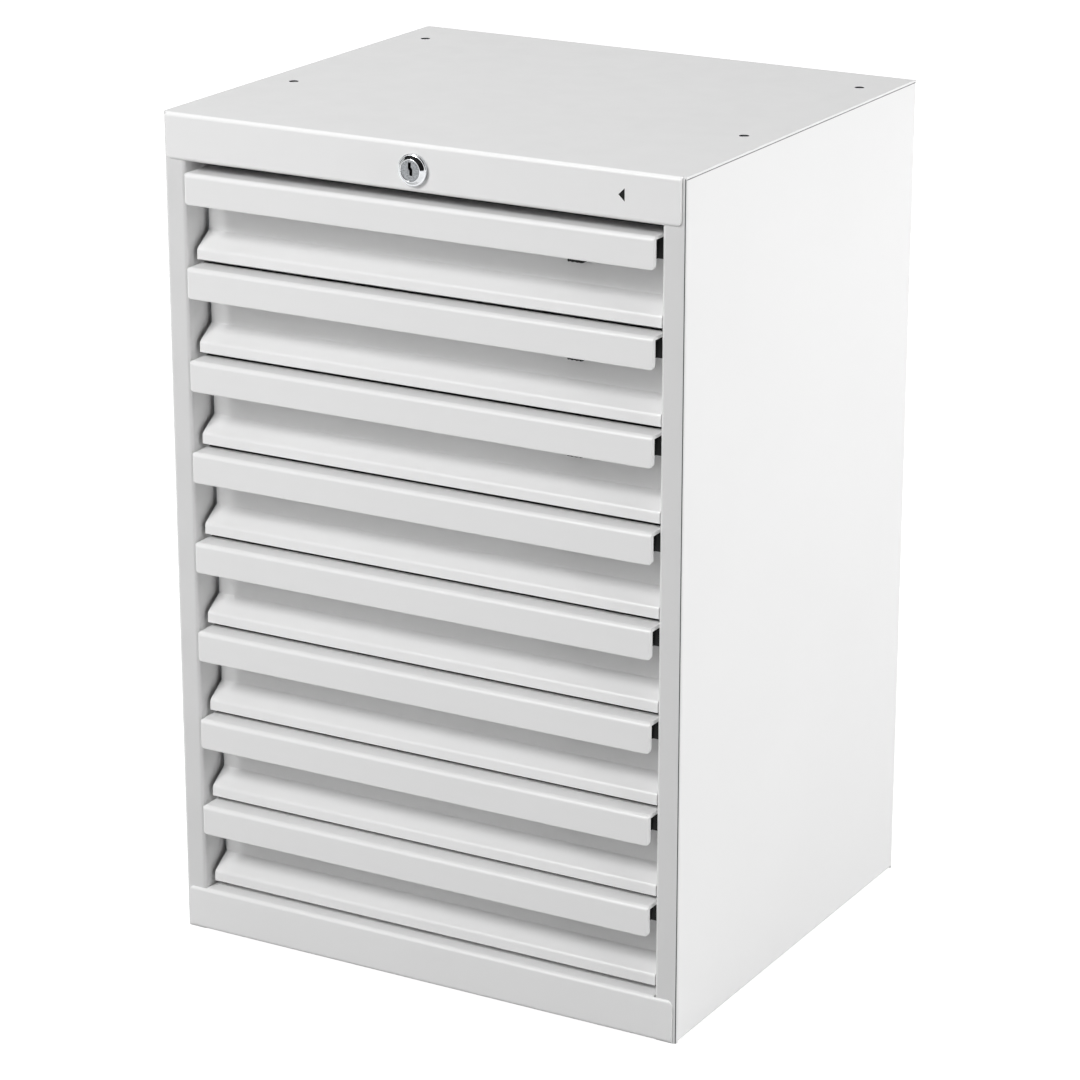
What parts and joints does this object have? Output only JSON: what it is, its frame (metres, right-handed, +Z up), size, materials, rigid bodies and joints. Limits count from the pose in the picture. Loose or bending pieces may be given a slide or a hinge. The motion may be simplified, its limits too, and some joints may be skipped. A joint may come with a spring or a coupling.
{
  "type": "van drawer cabinet",
  "caption": "Upright folded-steel cabinet for a van, with a stack of shallow sliding drawers, full-width pulls with side latches, and a key lock in the header that bars them.",
  "frame": {"origin": "middle of the bottom face of the bounding box, on the surface the cabinet stands on", "axes": "+X to the right seen from the front, +Y from the drawer fronts to the back, +Z up"},
  "size_m": [0.4064, 0.3606, 0.6096],
  "materials": {
    "case_paint": "white powder coat, semi-gloss, on 1.5 mm folded steel",
    "drawer_paint": "white powder coat, semi-gloss, on 1.2 mm folded steel",
    "zinc_steel": "bright zinc plating on steel",
    "lock_chrome": "chrome-plated lock cylinder",
    "latch_black": "moulded black nylon, matt"
  },
  "bodies": {
    "cabinet": {"left_side_panel": "case_paint", "right_side_panel": "case_paint", "top_panel": "case_paint", "kick_plate": "case_paint", "back_panel": "case_paint", "floor_panel": "case_paint", "rear_uprights": "case_paint", "case_rails": "zinc_steel", "lock_housing": "lock_chrome", "lock_nut": "zinc_steel", "rod_bracket": "zinc_steel", "bar_guides": "zinc_steel"},
    "lock_cylinder": {"lock_plug": "lock_chrome", "lock_rod": "zinc_steel"},
    "lock_bar_slider": {"lock_bar": "zinc_steel", "lock_catches": "zinc_steel"},
    "drawer_1": {"drawer_1_front": "drawer_paint", "drawer_1_tray": "drawer_paint", "drawer_1_fittings": "zinc_steel"},
    "cages_1": {"ball_cages_1": "zinc_steel"},
    "latch_slider_1": {"latch_1": "latch_black"},
    "drawer_2": {"drawer_2_front": "drawer_paint", "drawer_2_tray": "drawer_paint", "drawer_2_fittings": "zinc_steel"},
    "cages_2": {"ball_cages_2": "zinc_steel"},
    "latch_slider_2": {"latch_2": "latch_black"},
    "drawer_3": {"drawer_3_front": "drawer_paint", "drawer_3_tray": "drawer_paint", "drawer_3_fittings": "zinc_steel"},
    "cages_3": {"ball_cages_3": "zinc_steel"},
    "latch_slider_3": {"latch_3": "latch_black"},
    "drawer_4": {"drawer_4_front": "drawer_paint", "drawer_4_tray": "drawer_paint", "drawer_4_fittings": "zinc_steel"},
    "cages_4": {"ball_cages_4": "zinc_steel"},
    "latch_slider_4": {"latch_4": "latch_black"},
    "drawer_5": {"drawer_5_front": "drawer_paint", "drawer_5_tray": "drawer_paint", "drawer_5_fittings": "zinc_steel"},
    "cages_5": {"ball_cages_5": "zinc_steel"},
    "latch_slider_5": {"latch_5": "latch_black"},
    "drawer_6": {"drawer_6_front": "drawer_paint", "drawer_6_tray": "drawer_paint", "drawer_6_fittings": "zinc_steel"},
    "cages_6": {"ball_cages_6": "zinc_steel"},
    "latch_slider_6": {"latch_6": "latch_black"},
    "drawer_7": {"drawer_7_front": "drawer_paint", "drawer_7_tray": "drawer_paint", "drawer_7_fittings": "zinc_steel"},
    "cages_7": {"ball_cages_7": "zinc_steel"},
    "latch_slider_7": {"latch_7": "latch_black"},
    "drawer_8": {"drawer_8_front": "drawer_paint", "drawer_8_tray": "drawer_paint", "drawer_8_fittings": "zinc_steel"},
    "cages_8": {"ball_cages_8": "zinc_steel"},
    "latch_slider_8": {"latch_8": "latch_black"}
  },
  "joints": [
    {"name": "drawer_1_slide", "type": "slide", "parent": "cabinet", "child": "drawer_1", "axis": [0, -1, 0], "range_m": [0, 0.2286]},
    {"name": "cages_1_roll", "type": "slide", "parent": "cabinet", "child": "cages_1", "axis": [0, -1, 0], "range_m": [0, 0.1143]},
    {"name": "latch_1_slide", "type": "slide", "parent": "drawer_1", "child": "latch_slider_1", "axis": [-1, 0, 0], "range_m": [0, 0.006], "stiffness_N_per_m": 300, "springref_m": -0.006},
    {"name": "drawer_2_slide", "type": "slide", "parent": "cabinet", "child": "drawer_2", "axis": [0, -1, 0], "range_m": [0, 0.2286]},
    {"name": "cages_2_roll", "type": "slide", "parent": "cabinet", "child": "cages_2", "axis": [0, -1, 0], "range_m": [0, 0.1143]},
    {"name": "latch_2_slide", "type": "slide", "parent": "drawer_2", "child": "latch_slider_2", "axis": [-1, 0, 0], "range_m": [0, 0.006], "stiffness_N_per_m": 300, "springref_m": -0.006},
    {"name": "drawer_3_slide", "type": "slide", "parent": "cabinet", "child": "drawer_3", "axis": [0, -1, 0], "range_m": [0, 0.2286]},
    {"name": "cages_3_roll", "type": "slide", "parent": "cabinet", "child": "cages_3", "axis": [0, -1, 0], "range_m": [0, 0.1143]},
    {"name": "latch_3_slide", "type": "slide", "parent": "drawer_3", "child": "latch_slider_3", "axis": [-1, 0, 0], "range_m": [0, 0.006], "stiffness_N_per_m": 300, "springref_m": -0.006},
    {"name": "drawer_4_slide", "type": "slide", "parent": "cabinet", "child": "drawer_4", "axis": [0, -1, 0], "range_m": [0, 0.2286]},
    {"name": "cages_4_roll", "type": "slide", "parent": "cabinet", "child": "cages_4", "axis": [0, -1, 0], "range_m": [0, 0.1143]},
    {"name": "latch_4_slide", "type": "slide", "parent": "drawer_4", "child": "latch_slider_4", "axis": [-1, 0, 0], "range_m": [0, 0.006], "stiffness_N_per_m": 300, "springref_m": -0.006},
    {"name": "drawer_5_slide", "type": "slide", "parent": "cabinet", "child": "drawer_5", "axis": [0, -1, 0], "range_m": [0, 0.2286]},
    {"name": "cages_5_roll", "type": "slide", "parent": "cabinet", "child": "cages_5", "axis": [0, -1, 0], "range_m": [0, 0.1143]},
    {"name": "latch_5_slide", "type": "slide", "parent": "drawer_5", "child": "latch_slider_5", "axis": [-1, 0, 0], "range_m": [0, 0.006], "stiffness_N_per_m": 300, "springref_m": -0.006},
    {"name": "drawer_6_slide", "type": "slide", "parent": "cabinet", "child": "drawer_6", "axis": [0, -1, 0], "range_m": [0, 0.2286]},
    {"name": "cages_6_roll", "type": "slide", "parent": "cabinet", "child": "cages_6", "axis": [0, -1, 0], "range_m": [0, 0.1143]},
    {"name": "latch_6_slide", "type": "slide", "parent": "drawer_6", "child": "latch_slider_6", "axis": [-1, 0, 0], "range_m": [0, 0.006], "stiffness_N_per_m": 300, "springref_m": -0.006},
    {"name": "drawer_7_slide", "type": "slide", "parent": "cabinet", "child": "drawer_7", "axis": [0, -1, 0], "range_m": [0, 0.2286]},
    {"name": "cages_7_roll", "type": "slide", "parent": "cabinet", "child": "cages_7", "axis": [0, -1, 0], "range_m": [0, 0.1143]},
    {"name": "latch_7_slide", "type": "slide", "parent": "drawer_7", "child": "latch_slider_7", "axis": [-1, 0, 0], "range_m": [0, 0.006], "stiffness_N_per_m": 300, "springref_m": -0.006},
    {"name": "drawer_8_slide", "type": "slide", "parent": "cabinet", "child": "drawer_8", "axis": [0, -1, 0], "range_m": [0, 0.2286]},
    {"name": "cages_8_roll", "type": "slide", "parent": "cabinet", "child": "cages_8", "axis": [0, -1, 0], "range_m": [0, 0.1143]},
    {"name": "latch_8_slide", "type": "slide", "parent": "drawer_8", "child": "latch_slider_8", "axis": [-1, 0, 0], "range_m": [0, 0.006], "stiffness_N_per_m": 300, "springref_m": -0.006},
    {"name": "lock_turn", "type": "hinge", "parent": "cabinet", "child": "lock_cylinder", "pos_m": [0, -0.1753, 0.592], "axis": [0, 1, 0], "range_deg": [0, 90]},
    {"name": "lock_bar_drop", "type": "slide", "parent": "cabinet", "child": "lock_bar_slider", "axis": [0, 0, -1], "range_m": [0, 0.008]}
  ],
  "couplings": [
    {"joint": "cages_1_roll", "follows": "drawer_1_slide", "ratio": 0.5},
    {"joint": "cages_2_roll", "follows": "drawer_2_slide", "ratio": 0.5},
    {"joint": "cages_3_roll", "follows": "drawer_3_slide", "ratio": 0.5},
    {"joint": "cages_4_roll", "follows": "drawer_4_slide", "ratio": 0.5},
    {"joint": "cages_5_roll", "follows": "drawer_5_slide", "ratio": 0.5},
    {"joint": "cages_6_roll", "follows": "drawer_6_slide", "ratio": 0.5},
    {"joint": "cages_7_roll", "follows": "drawer_7_slide", "ratio": 0.5},
    {"joint": "cages_8_roll", "follows": "drawer_8_slide", "ratio": 0.5},
    {"joint": "lock_turn", "follows": "lock_bar_drop", "rad_per_m": 196.2}
  ]
}
